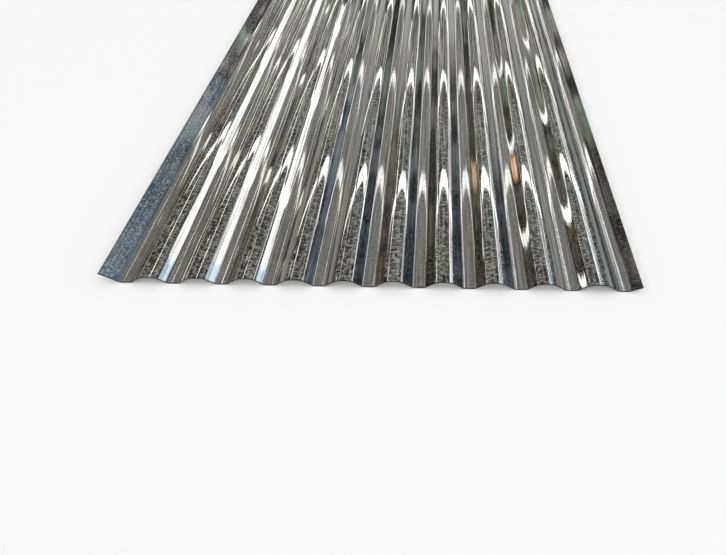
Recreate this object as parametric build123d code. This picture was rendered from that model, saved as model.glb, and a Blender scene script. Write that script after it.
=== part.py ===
"""Steel roofing sheet: one roll-formed sheet of galvanised steel with eleven shallow corrugations.

The sheet lies flat on z = 0, as it is stored. The corrugations run along Y, and the origin is under
the middle of the sheet.
"""
import os
from math import atan2, cos, degrees, hypot, radians, sin, sqrt

from build123d import *

# The sheet as it is sold, mm
LENGTH = 2440.0  # along the corrugations
THICKNESS = 0.5  # steel with its zinc

# One wave, measured on the middle of the sheet's thickness
PITCH = 76.0  # from valley to valley
DEPTH = 12.0  # from valley bottom to crest top
VALLEYS = 11
LAND = 2.0  # level strip along each valley bottom and each crest top

# From the land, a crest falls away in a broad curve and a valley rises in one, for so many degrees.
# The rolls then bend the sheet more tightly, by the same radius both ways, to the slope of the flank.
CREST_RADIUS = 40.0
CREST_TURN = 17.0
VALLEY_RADIUS = 34.0
VALLEY_TURN = 12.0
BEND_RADIUS = 9.0

# The side edges: beyond the outermost valleys the sheet turns up and runs on straight.
# The reach is measured across the sheet from the valley's centre, the slope in degrees.
LEFT_LIP_REACH = 38.0
LEFT_LIP_SLOPE = 31.0
RIGHT_LIP_REACH = 26.0
RIGHT_LIP_SLOPE = 24.5


def arc_run(radius, start, end):
    """How far across an arc goes while its slope changes from start to end, in degrees."""
    return radius * abs(sin(radians(end)) - sin(radians(start)))


def arc_rise(radius, start, end):
    """How far up the same arc goes."""
    return radius * abs(cos(radians(start)) - cos(radians(end)))


# Half a wave is half a land, the valley's curve, a bend, the straight flank, a bend the other way,
# the crest's curve and half a land. The flank has to make up what is left of the run and the rise
# once the bends are begun, which gives its length and its slope.
curves_run = arc_run(VALLEY_RADIUS, 0, VALLEY_TURN) + arc_run(CREST_RADIUS, 0, CREST_TURN)
curves_rise = arc_rise(VALLEY_RADIUS, 0, VALLEY_TURN) + arc_rise(CREST_RADIUS, 0, CREST_TURN)
centres_run = sin(radians(VALLEY_TURN)) + sin(radians(CREST_TURN))
centres_rise = cos(radians(VALLEY_TURN)) + cos(radians(CREST_TURN))
run_left = PITCH / 2 - LAND - curves_run + BEND_RADIUS * centres_run
rise_left = DEPTH - curves_rise - BEND_RADIUS * centres_rise
flank = sqrt(hypot(run_left, rise_left) ** 2 - (2 * BEND_RADIUS) ** 2)
flank_slope = degrees(atan2(rise_left, run_left) + atan2(2 * BEND_RADIUS, flank))

first_valley_x = LEFT_LIP_REACH - (LEFT_LIP_REACH + (VALLEYS - 1) * PITCH + RIGHT_LIP_REACH) / 2


def straight(path, length):
    """Carry the path straight on."""
    end, direction = path[-1] @ 1, path[-1] % 1
    path.append(Line(end, end + direction * length))


def bend(path, radius, turn):
    """Carry the path on round an arc: turn is in degrees, up for a valley and down for a crest."""
    path.append(JernArc(path[-1] @ 1, path[-1] % 1, radius, turn))


def lip_straight(reach, slope):
    """Length of a lip's straight part, from the end of the valley's bend to the sheet's edge."""
    run = arc_run(VALLEY_RADIUS, 0, VALLEY_TURN) + arc_run(BEND_RADIUS, VALLEY_TURN, slope)
    return (reach - LAND / 2 - run) / cos(radians(slope))


def surface_line(rise):
    """Outline of one face of the sheet, from edge to edge, at rise above the middle of its thickness.

    The arcs are concentric with those of the middle, so the sheet is equally thick all over.
    """
    valley_curve, valley_bend = VALLEY_RADIUS - rise, BEND_RADIUS - rise
    crest_curve, crest_bend = CREST_RADIUS + rise, BEND_RADIUS + rise
    valley_left = flank_slope - VALLEY_TURN
    crest_left = flank_slope - CREST_TURN

    # the left lip comes down from the edge of the sheet to the first valley
    slope = radians(LEFT_LIP_SLOPE)
    length = lip_straight(LEFT_LIP_REACH, LEFT_LIP_SLOPE)
    height = arc_rise(VALLEY_RADIUS, 0, VALLEY_TURN) + arc_rise(BEND_RADIUS, VALLEY_TURN, LEFT_LIP_SLOPE)
    height += length * sin(slope) + THICKNESS / 2
    edge = Vector(first_valley_x - LEFT_LIP_REACH + rise * sin(slope), height + rise * cos(slope))
    path = [Line(edge, edge + Vector(cos(slope), -sin(slope)) * length)]
    bend(path, valley_bend, LEFT_LIP_SLOPE - VALLEY_TURN)
    bend(path, valley_curve, VALLEY_TURN)
    straight(path, LAND)

    for _ in range(VALLEYS - 1):
        bend(path, valley_curve, VALLEY_TURN)
        bend(path, valley_bend, valley_left)
        straight(path, flank)
        bend(path, crest_bend, -crest_left)
        bend(path, crest_curve, -CREST_TURN)
        straight(path, LAND)
        bend(path, crest_curve, -CREST_TURN)
        bend(path, crest_bend, -crest_left)
        straight(path, flank)
        bend(path, valley_bend, valley_left)
        bend(path, valley_curve, VALLEY_TURN)
        straight(path, LAND)

    # the right lip
    bend(path, valley_curve, VALLEY_TURN)
    bend(path, valley_bend, RIGHT_LIP_SLOPE - VALLEY_TURN)
    straight(path, lip_straight(RIGHT_LIP_REACH, RIGHT_LIP_SLOPE))
    return path


def roofing_sheet():
    """The whole sheet: its section between the two faces, drawn out along its length."""
    top = surface_line(THICKNESS / 2)
    underside = surface_line(-THICKNESS / 2)
    left_edge = Line(underside[0] @ 0, top[0] @ 0)
    right_edge = Line(underside[-1] @ 1, top[-1] @ 1)
    section = make_face([*underside, right_edge, *top, left_edge])
    return extrude(Plane.XZ * section, LENGTH / 2, both=True)


os.makedirs("parts", exist_ok=True)
sheet = roofing_sheet()
export_step(sheet, "parts/roofing_sheet.step")

box = sheet.bounding_box()
print(f"flank {flank:.2f} mm long at {flank_slope:.2f} degrees")
print(f"sheet {box.size.X:.2f} x {box.size.Y:.2f} x {box.size.Z:.2f} mm, {sheet.volume / 1e3:.1f} cm3")
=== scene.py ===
"""Steel roofing sheet: one corrugated sheet of bright galvanised steel on a pale studio floor."""

from math import atan2, cos, pi, radians, sin

import bpy
import numpy as np
from mathutils import Matrix, Vector


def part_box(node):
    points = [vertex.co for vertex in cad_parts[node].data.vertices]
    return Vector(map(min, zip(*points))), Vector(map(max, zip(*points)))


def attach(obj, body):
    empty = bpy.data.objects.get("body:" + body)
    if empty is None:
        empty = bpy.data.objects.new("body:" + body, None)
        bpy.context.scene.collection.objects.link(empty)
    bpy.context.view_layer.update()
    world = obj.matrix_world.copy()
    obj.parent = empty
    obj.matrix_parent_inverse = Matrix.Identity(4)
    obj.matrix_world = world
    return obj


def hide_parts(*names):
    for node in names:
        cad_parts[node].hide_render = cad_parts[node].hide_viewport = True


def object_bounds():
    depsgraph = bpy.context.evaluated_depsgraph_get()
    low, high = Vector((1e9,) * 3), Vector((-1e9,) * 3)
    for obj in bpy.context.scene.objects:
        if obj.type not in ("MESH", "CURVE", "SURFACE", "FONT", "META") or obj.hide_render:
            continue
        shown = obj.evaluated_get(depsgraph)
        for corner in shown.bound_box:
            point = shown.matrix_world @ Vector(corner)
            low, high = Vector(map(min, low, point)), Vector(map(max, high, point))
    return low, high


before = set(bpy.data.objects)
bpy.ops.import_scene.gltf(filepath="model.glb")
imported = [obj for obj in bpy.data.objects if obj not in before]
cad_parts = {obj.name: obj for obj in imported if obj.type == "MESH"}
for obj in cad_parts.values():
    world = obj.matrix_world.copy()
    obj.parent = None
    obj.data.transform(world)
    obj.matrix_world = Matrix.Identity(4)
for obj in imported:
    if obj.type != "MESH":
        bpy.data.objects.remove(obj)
cad_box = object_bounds()


# --- camera ---------------------------------------------------------------------------------------
# Someone stands close to the near end of the sheet and looks down along it, a little to the left.
# The far end lies beyond the top of the view.

near_end = Vector((0.0, cad_box[0].y, 0.0))
eye = near_end + Vector((0.1026, -0.6340, 0.6474))
heading, pitch, roll = radians(4.75), radians(44.51), radians(-2.34)

camera_data = bpy.data.cameras.new("camera")
camera_data.sensor_width = 36.0
camera_data.lens = 29.75
camera_data.shift_x = -0.0471
camera = bpy.data.objects.new("camera", camera_data)
looking_down = Matrix.Rotation(heading, 4, "Z") @ Matrix.Rotation(pi / 2 - pitch, 4, "X")
camera.matrix_world = Matrix.Translation(eye) @ looking_down @ Matrix.Rotation(roll, 4, "Z")
bpy.context.collection.objects.link(camera)
bpy.context.scene.camera = camera
bpy.context.scene.view_settings.view_transform = "Standard"


# --- sheet ----------------------------------------------------------------------------------------
# One sheet of 0.5 mm steel, hot dipped in zinc, cut from a coil and roll formed in one pass. It has
# eleven valleys and ten crests, and both side edges are left as straight lips that turn up.

PITCH = 0.076
DEPTH = 0.012
VALLEYS = 11
THICKNESS = 0.0005
LAND = 0.002  # flat strip at the bottom of a valley and on top of a crest
CREST_RADIUS, CREST_TURN = 0.040, radians(17.0)
VALLEY_RADIUS, VALLEY_TURN = 0.034, radians(12.0)
BEND_RADIUS = 0.009
LEFT_LIP_REACH, LEFT_LIP_SLOPE = 0.038, radians(31.0)
RIGHT_LIP_REACH, RIGHT_LIP_SLOPE = 0.026, radians(24.5)
FINE_STEPS = 40000  # into which the section's line is cut before it is added up
HANDLING = 0.00012  # size of the longest wave that handling has left
SHARP_EDGE = radians(40.0)

# the flank takes what the valley's curve, the two bends and the crest's curve leave of half a wave
run_left = PITCH / 2 - LAND - (VALLEY_RADIUS - BEND_RADIUS) * sin(VALLEY_TURN)
run_left -= (CREST_RADIUS - BEND_RADIUS) * sin(CREST_TURN)
rise_left = DEPTH - VALLEY_RADIUS * (1 - cos(VALLEY_TURN)) - BEND_RADIUS * cos(VALLEY_TURN)
rise_left -= CREST_RADIUS * (1 - cos(CREST_TURN)) + BEND_RADIUS * cos(CREST_TURN)
flank = (run_left**2 + rise_left**2 - 4 * BEND_RADIUS**2) ** 0.5
flank_slope = atan2(rise_left, run_left) + atan2(2 * BEND_RADIUS, flank)


def lip_runs(reach, slope):
    """A valley's curve, its bend and the lip beyond, as lengths and the slope at each one's end."""
    bend = BEND_RADIUS * (slope - VALLEY_TURN)
    left = reach - LAND / 2 - (VALLEY_RADIUS - BEND_RADIUS) * sin(VALLEY_TURN)
    left -= BEND_RADIUS * sin(slope)
    return [(VALLEY_RADIUS * VALLEY_TURN, VALLEY_TURN), (bend, slope), (left / cos(slope), slope)]


def section(stations):
    """Middle line of the sheet's section at stations, which run from 0 to 1 from edge to edge.

    The slope angle holds along a straight and turns evenly along an arc, so it is a line of
    straight pieces over the distance along the section. x and z are the running sums of its
    cosine and sine. The stations crowd where the section bends: a step of one is shared out
    by a third to distance and by two thirds to turning. Returns x, z and the slope angle.
    """
    valley = VALLEY_RADIUS * VALLEY_TURN, BEND_RADIUS * (flank_slope - VALLEY_TURN)
    crest = BEND_RADIUS * (flank_slope - CREST_TURN), CREST_RADIUS * CREST_TURN
    lengths = [*valley, flank, *crest, LAND]
    rise = list(zip(lengths, (VALLEY_TURN, flank_slope, flank_slope, CREST_TURN, 0.0, 0.0)))
    lengths = [*crest[::-1], flank, *valley[::-1], LAND]
    fall = list(zip(lengths, (-CREST_TURN, -flank_slope, -flank_slope, -VALLEY_TURN, 0.0, 0.0)))
    curve, bend, lip = lip_runs(LEFT_LIP_REACH, LEFT_LIP_SLOPE)
    left = [(0.0, -LEFT_LIP_SLOPE), (lip[0], -LEFT_LIP_SLOPE)]
    left += [(bend[0], -VALLEY_TURN), (curve[0], 0.0)]
    right = lip_runs(RIGHT_LIP_REACH, RIGHT_LIP_SLOPE)
    runs = np.array(left + [(LAND, 0.0)] + (rise + fall) * (VALLEYS - 1) + right)
    corner = np.cumsum(runs[:, 0])

    along = np.linspace(0.0, corner[-1], FINE_STEPS + 1)
    angle = np.interp(along, corner, runs[:, 1])
    middle_angle = (angle[1:] + angle[:-1]) / 2
    step = along[1]
    x = np.concatenate([[0.0], np.cumsum(np.cos(middle_angle)) * step])
    z = np.concatenate([[0.0], np.cumsum(np.sin(middle_angle)) * step])
    x -= x[-1] / 2
    z -= z.min() - THICKNESS / 2
    turned = np.concatenate([[0.0], np.cumsum(np.abs(np.diff(angle)))])
    crowding = along / along[-1] / 3 + turned / turned[-1] * 2 / 3
    at = np.interp(stations, crowding, along)
    return np.interp(at, along, x), np.interp(at, along, z), np.interp(at, along, angle)


def lift(x, y):
    """How far handling has lifted the sheet off its true shape, in metres.

    Four waves along the sheet are added up, each with its own phase on every corrugation, so that
    no two crests are bent quite alike. Their sizes come to 2.2, which is added as well: the sheet
    lies on the floor, so it is never below zero.
    """
    wave = x / PITCH
    bow = np.sin(y * 5.3 + 1.9 * wave) + 0.7 * np.sin(y * 9.1 - 2.7 * wave + 1.0)
    bow += 0.35 * np.sin(y * 21.0 + 4.4 * wave + 0.4) + 0.15 * np.sin(y * 47.0 - 3.1 * wave)
    return HANDLING * (bow + 2.2)


def sheet_mesh(name, across, along):
    """The sheet as a closed shell: its section carried along Y.

    The top face is the middle line moved out by half the thickness along its normal, and the
    underside is the same line moved the other way. Together they make one closed loop of
    2 x across points, which is repeated at along places from the near end to the far one.
    """
    low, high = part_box("roofing_sheet")
    x, z, angle = section(np.linspace(0.0, 1.0, across))
    out = np.stack([-np.sin(angle), np.cos(angle)]) * THICKNESS / 2
    x += (low.x + high.x) / 2
    loop_x = np.concatenate([x + out[0], (x - out[0])[::-1]])
    loop_z = np.concatenate([z + out[1], (z - out[1])[::-1]])
    middle_x = np.concatenate([x, x[::-1]])

    y = np.linspace(low.y, high.y, along)[:, None]
    points = np.empty((along, 2 * across, 3))
    points[..., 0] = loop_x
    points[..., 1] = y
    points[..., 2] = loop_z + lift(middle_x, y)

    index = np.arange(along * 2 * across).reshape(along, 2 * across)
    following = np.roll(index, -1, axis=1)
    sides = np.stack([index[:-1], following[:-1], following[1:], index[1:]], axis=-1)
    near, far = index[0], index[-1]
    top, under = near[:across], near[::-1][:across]
    near_cap = np.stack([top[:-1], under[:-1], under[1:], top[1:]], axis=-1)
    top, under = far[:across], far[::-1][:across]
    far_cap = np.stack([top[:-1], top[1:], under[1:], under[:-1]], axis=-1)
    faces = np.concatenate([sides.reshape(-1, 4), near_cap, far_cap])

    mesh = bpy.data.meshes.new(name)
    mesh.from_pydata(points.reshape(-1, 3), [], faces)
    mesh.validate()
    mesh.shade_smooth()
    mesh.set_sharp_from_angle(angle=SHARP_EDGE)
    return mesh


def galvanised_steel():
    """Bright zinc over steel.

    It is a near mirror, with fine lines along the way that it went through the rolls. Spangle shows
    on the crests and on the left lip, dull dust lies in the valleys, and the sheared rim at each
    end is dark, with a painted shadow line on the top face beside it. The dull places are part
    metal and part plain grey.
    """
    material = bpy.data.materials.new("galvanised_steel")
    material.use_nodes = True
    nodes, links = material.node_tree.nodes, material.node_tree.links
    shader = nodes["Principled BSDF"]
    # for a reader that can't follow the nodes below
    shader.inputs["Metallic"].default_value = 1.0  # the socket's own value, under the nodes linked below
    place = nodes.new("ShaderNodeTexCoord").outputs["Object"]

    def noise(scale, detail, roughness, density):
        """Soft noise on the sheet, with scale x density cells to the metre each way."""
        mapping = nodes.new("ShaderNodeMapping")
        mapping.inputs["Scale"].default_value = density
        links.new(place, mapping.inputs["Vector"])
        texture = nodes.new("ShaderNodeTexNoise")
        texture.inputs["Scale"].default_value = scale
        texture.inputs["Detail"].default_value = detail
        texture.inputs["Roughness"].default_value = roughness
        links.new(mapping.outputs["Vector"], texture.inputs["Vector"])
        return texture.outputs["Fac"]

    def spread(value, low, high, to_low, to_high, easing="SMOOTHSTEP"):
        """value carried from low..high to to_low..to_high, and held inside that."""
        node = nodes.new("ShaderNodeMapRange")
        node.interpolation_type = easing
        limits = {"From Min": low, "From Max": high, "To Min": to_low, "To Max": to_high}
        for socket, number in limits.items():
            node.inputs[socket].default_value = number
        links.new(value, node.inputs["Value"])
        return node.outputs["Result"]

    def combine(operation, first, second):
        """Two values added, multiplied or otherwise joined."""
        node = nodes.new("ShaderNodeMath")
        node.operation = operation
        links.new(first, node.inputs[0])
        links.new(second, node.inputs[1])
        return node.outputs["Value"]

    def mix(amount, first, second):
        """The colour first where amount is 0 and second where it is 1."""
        node = nodes.new("ShaderNodeMix")
        node.data_type = "RGBA"
        links.new(amount, node.inputs["Factor"])
        for socket, colour in ((node.inputs["A"], first), (node.inputs["B"], second)):
            if isinstance(colour, tuple):
                socket.default_value = (*colour, 1.0)
            else:
                links.new(colour, socket)
        return node.outputs["Result"]

    # where each finish lies: dust up to 3.4 mm over the floor, spangle from 9.4 mm up and on the
    # left lip, and at each end a dark band 2 mm wide, which is the sheared rim and a painted shadow
    # line on the top face beside it
    low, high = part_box("roofing_sheet")
    position = nodes.new("ShaderNodeSeparateXYZ")
    links.new(place, position.inputs["Vector"])
    across, along, height = (position.outputs[axis] for axis in "XYZ")
    valley = spread(height, 0.0012, 0.0034, 1.0, 0.0)
    crest = spread(height, 0.0094, 0.0112, 0.0, 1.0)
    left_lip = spread(across, -0.392, -0.384, 1.0, 0.0)
    near_rim_and_painted_shadow = spread(along, low.y + 0.0008, low.y + 0.0020, 1.0, 0.0)
    far_rim_and_painted_shadow = spread(along, high.y - 0.0020, high.y - 0.0008, 0.0, 1.0)
    rim_and_painted_shadow = combine("ADD", near_rim_and_painted_shadow, far_rim_and_painted_shadow)

    # zinc grains, rolling marks across the valleys' dust, and fine lines drawn out along the sheet
    spangle = noise(270.0, 3.0, 0.6, (0.65, 1.0, 1.0))
    rolled = noise(90.0, 3.0, 0.65, (1.0, 9.0, 1.0))
    streak = noise(240.0, 5.0, 0.6, (1.0, 0.012, 1.0))

    bright = mix(spread(streak, 0.36, 0.66, 0.0, 1.0), (0.91, 0.91, 0.88), (0.52, 0.52, 0.49))
    dusty = mix(spread(rolled, 0.36, 0.64, 0.0, 1.0), (0.48, 0.47, 0.44), (0.88, 0.86, 0.82))
    dusty = mix(spread(streak, 0.36, 0.64, 0.0, 0.55), dusty, (0.40, 0.39, 0.37))
    # the dark colour at each end is the sheared steel, and on the top face beside it a painted
    # shadow line
    colour = mix(rim_and_painted_shadow, mix(valley, bright, dusty), (0.05, 0.055, 0.05))
    links.new(colour, shader.inputs["Base Color"])

    speckled = spread(combine("MAXIMUM", crest, left_lip), 0.0, 1.0, 0.30, 1.0)
    grain = combine("MULTIPLY", spread(spangle, 0.42, 0.62, 0.0, 0.285), speckled)
    dull = combine("MAXIMUM", grain, spread(valley, 0.0, 1.0, 0.0, 0.23))
    links.new(spread(dull, 0.0, 1.0, 1.0, 0.0, "LINEAR"), shader.inputs["Metallic"])

    roughness = spread(spangle, 0.3, 0.7, 0.020, 0.045)
    roughness = combine("ADD", roughness, spread(valley, 0.0, 1.0, 0.0, 0.02))
    roughness = combine("ADD", roughness, spread(rim_and_painted_shadow, 0.0, 1.0, 0.0, 0.4))
    links.new(roughness, shader.inputs["Roughness"])

    draw_lines = nodes.new("ShaderNodeBump")
    draw_lines.inputs["Strength"].default_value = 1.0
    draw_lines.inputs["Distance"].default_value = 0.000028
    links.new(streak, draw_lines.inputs["Height"])
    grains = nodes.new("ShaderNodeBump")
    grains.inputs["Strength"].default_value = 0.02
    grains.inputs["Distance"].default_value = 0.00012
    links.new(spread(spangle, 0.2, 0.8, 0.0, 1.0), grains.inputs["Height"])
    links.new(draw_lines.outputs["Normal"], grains.inputs["Normal"])
    links.new(grains.outputs["Normal"], shader.inputs["Normal"])
    return material


shell = sheet_mesh("corrugated_sheet", across=420, along=110)
sheet = bpy.data.objects.new("corrugated_sheet", shell)
bpy.context.collection.objects.link(sheet)
sheet.data.materials.append(galvanised_steel())
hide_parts("roofing_sheet")
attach(sheet, "root")


# --- floor ----------------------------------------------------------------------------------------
# A plain pale floor, painted and matt, that runs out to a studio's far walls.

FLOOR_REACH = 45.0

floor_mesh = bpy.data.meshes.new("floor")
corners = np.array([(-1, -1, 0), (1, -1, 0), (1, 1, 0), (-1, 1, 0)]) * FLOOR_REACH
floor_mesh.from_pydata(corners, [], [(0, 1, 2, 3)])
floor = bpy.data.objects.new("floor", floor_mesh)
bpy.context.collection.objects.link(floor)
floor_paint = bpy.data.materials.new("pale_floor")
floor_paint.use_nodes = True
paint = floor_paint.node_tree.nodes["Principled BSDF"]
paint.inputs["Base Color"].default_value = (0.97, 0.97, 0.97, 1.0)
paint.inputs["Roughness"].default_value = 0.9
floor_mesh.materials.append(floor_paint)


# --- lamps ----------------------------------------------------------------------------------------
# A wide soft ceiling lights everything evenly. The sheet is a near mirror, so its look comes from
# rows of tube lamps: those of a store shed beyond the far end, and plain ones on the other sides.

LAMP_HEIGHT = 8.0
CEILING_HEIGHT = 10.0
SHED_END = 26.0
TUBE_RADIANCE = 1.8


def hang_lamp(name, x, y, size_x, size_y, radiance, turn=0.0, colour=(1.0, 1.0, 1.0)):
    """A flat lamp that shines straight down. Its power is radiance x pi x its area."""
    lamp = bpy.data.lights.new(name, "AREA")
    lamp.shape = "RECTANGLE"
    lamp.size = size_x
    lamp.size_y = size_y
    lamp.energy = radiance * pi * size_x * size_y
    lamp.color = colour
    hung = bpy.data.objects.new(name, lamp)
    hung.location = (x, y, LAMP_HEIGHT)
    hung.rotation_euler = (0.0, 0.0, turn)
    hung.visible_camera = False
    bpy.context.collection.objects.link(hung)
    return hung


# metal doesn't mirror the ceiling, because its edge would cut a hard line across the sheet
soft_ceiling = hang_lamp("soft_ceiling", 0.0, 0.0, 120.0, 120.0, 0.61)
soft_ceiling.location.z = CEILING_HEIGHT
soft_ceiling.visible_glossy = False

# rows across the shed, each in three lengths that bend away at the sides
for row, y in enumerate((10.35, 15.8, 21.8)):
    hang_lamp(f"row_{row}_middle", 0.0, y, 5.4, 0.75, TUBE_RADIANCE)
    hang_lamp(f"row_{row}_left", -6.8, y + 1.4, 7.1, 0.60, 1.5, radians(-22.0))
    hang_lamp(f"row_{row}_right", 5.4, y + 0.8, 4.2, 0.70, TUBE_RADIANCE, radians(20.0))

# rows along the shed on the right, each with a bluish roof window before its near end
long_rows = (4.02, 6.9, 0.62), (5.14, 7.7, 0.46), (6.40, 8.8, 0.46)
for strip, (x, start, width) in enumerate(long_rows):
    hang_lamp(f"long_row_{strip}", x, (start + SHED_END) / 2, width, SHED_END - start, 1.35)
    hang_lamp(f"window_{strip}", x, start - 0.5, 0.50, 1.0, 1.0, colour=(0.72, 0.85, 1.0))

# dim blue windows on the right, and a thin row and the light of a door on the left
hang_lamp("blue_window", 3.08, 9.0, 0.45, 9.0, 0.125, colour=(0.45, 0.72, 1.0))
hang_lamp("blue_panel", 8.1, 15.5, 0.50, 12.0, 0.12, colour=(0.68, 0.82, 1.0))
hang_lamp("thin_row_left", -4.4, 14.0, 0.22, 18.0, 2.0)
hang_lamp("door", -7.1, 9.2, 0.50, 0.30, TUBE_RADIANCE)

# plain rows behind the near end and on both sides, so that the sheet mirrors lamps on every side
for row, distance in enumerate((12.5, 19.0, 28.0)):
    hang_lamp(f"row_behind_{row}", 0.0, -distance, 12.0, 0.9, TUBE_RADIANCE)
    hang_lamp(f"row_beside_left_{row}", -distance, -2.0, 0.9, 9.0, TUBE_RADIANCE)
    hang_lamp(f"row_beside_right_{row}", distance, -2.0, 0.9, 9.0, TUBE_RADIANCE)

# two warm lamps far back on the left
hang_lamp("warm_near", -9.0, 16.7, 0.6, 1.4, 1.1, colour=(1.0, 0.62, 0.32))
hang_lamp("warm_far", -11.5, 19.2, 0.8, 1.6, 0.55, colour=(1.0, 0.68, 0.40))


# --- surroundings ---------------------------------------------------------------------------------
# A pale wall stands all round, with soft bands of light and shade above it. Beyond the far end the
# wall is greyer, and over it is the dark, blotchy roof of the shed. Colours are radiances.

world = bpy.data.worlds.new("studio")
world.use_nodes = True
bpy.context.scene.world = world
sky, join = world.node_tree.nodes, world.node_tree.links
direction = sky.new("ShaderNodeTexCoord").outputs["Generated"]
axes = sky.new("ShaderNodeSeparateXYZ")
join.new(direction, axes.inputs["Vector"])
rightward, ahead, upward = (axes.outputs[axis] for axis in "XYZ")


def fade(value, low, high):
    """0 where value is below low and 1 where it is above high, with a smooth change between."""
    node = sky.new("ShaderNodeMapRange")
    node.interpolation_type = "SMOOTHSTEP"
    node.inputs["From Min"].default_value = low
    node.inputs["From Max"].default_value = high
    join.new(value, node.inputs["Value"])
    return node.outputs["Result"]


def blend_sky(amount, first, second):
    """The colour first where amount is 0 and second where it is 1."""
    node = sky.new("ShaderNodeMix")
    node.data_type = "RGBA"
    join.new(amount, node.inputs["Factor"])
    for socket, colour in ((node.inputs["A"], first), (node.inputs["B"], second)):
        if isinstance(colour, tuple):
            socket.default_value = (*colour, 1.0)
        else:
            join.new(colour, socket)
    return node.outputs["Result"]


def clouds(scale, detail):
    """Blotches, about scale of them from straight up to the horizon, drawn out along the sheet."""
    drawn_out = sky.new("ShaderNodeMapping")
    drawn_out.inputs["Scale"].default_value = (1.0, 0.4, 1.0)
    join.new(direction, drawn_out.inputs["Vector"])
    node = sky.new("ShaderNodeTexNoise")
    node.inputs["Scale"].default_value = scale
    node.inputs["Detail"].default_value = detail
    join.new(drawn_out.outputs["Vector"], node.inputs["Vector"])
    return node.outputs["Fac"]


# the shed's roof: each part has a shade overhead and a lighter one far off
far_off = fade(ahead, 0.74, 0.90)
blotch = fade(clouds(26.0, 3.0), 0.42, 0.60)
tint = fade(clouds(11.0, 1.0), 0.42, 0.58)
soot = (0.014, 0.014, 0.013)
overhead = blend_sky(blotch, soot, blend_sky(tint, (0.12, 0.14, 0.115), (0.15, 0.13, 0.135)))
beyond = blend_sky(blotch, soot, blend_sky(tint, (0.24, 0.29, 0.235), (0.31, 0.265, 0.285)))
brown = blend_sky(blotch, (0.018, 0.014, 0.010), (0.080, 0.062, 0.048))
grey = blend_sky(blotch, (0.035, 0.034, 0.031), (0.17, 0.165, 0.155))
navy = blend_sky(blotch, (0.010, 0.014, 0.024), (0.050, 0.066, 0.092))
pale = blend_sky(blotch, (0.016, 0.018, 0.020), (0.15, 0.17, 0.17))
left_roof, middle_roof = blend_sky(far_off, brown, grey), blend_sky(far_off, overhead, beyond)
right_roof = blend_sky(far_off, navy, pale)
roof = blend_sky(fade(rightward, 0.18, 0.34), middle_roof, right_roof)
roof = blend_sky(fade(rightward, -0.45, -0.20), left_roof, roof)

# the studio's bands, from the wall's top to straight up
bands = blend_sky(fade(upward, 0.20, 0.34), (0.50, 0.50, 0.495), (0.13, 0.13, 0.13))
bands = blend_sky(fade(upward, 0.44, 0.50), bands, (0.95, 0.95, 0.95))
bands = blend_sky(fade(upward, 0.60, 0.68), bands, (0.15, 0.15, 0.15))
bands = blend_sky(fade(upward, 0.84, 0.92), bands, (0.42, 0.42, 0.415))

# the wall, which is darker to both sides of the shed
sideways = sky.new("ShaderNodeMath")
sideways.operation = "ABSOLUTE"
join.new(rightward, sideways.inputs[0])
to_the_sides = fade(sideways.outputs["Value"], 0.15, 0.50)
shed_wall = blend_sky(to_the_sides, (0.58, 0.58, 0.58), (0.25, 0.25, 0.248))

in_shed = fade(ahead, 0.40, 0.66)
above = blend_sky(in_shed, bands, roof)
wall = blend_sky(in_shed, (0.90, 0.90, 0.90), shed_wall)
join.new(blend_sky(fade(upward, 0.16, 0.20), wall, above), sky["Background"].inputs["Color"])
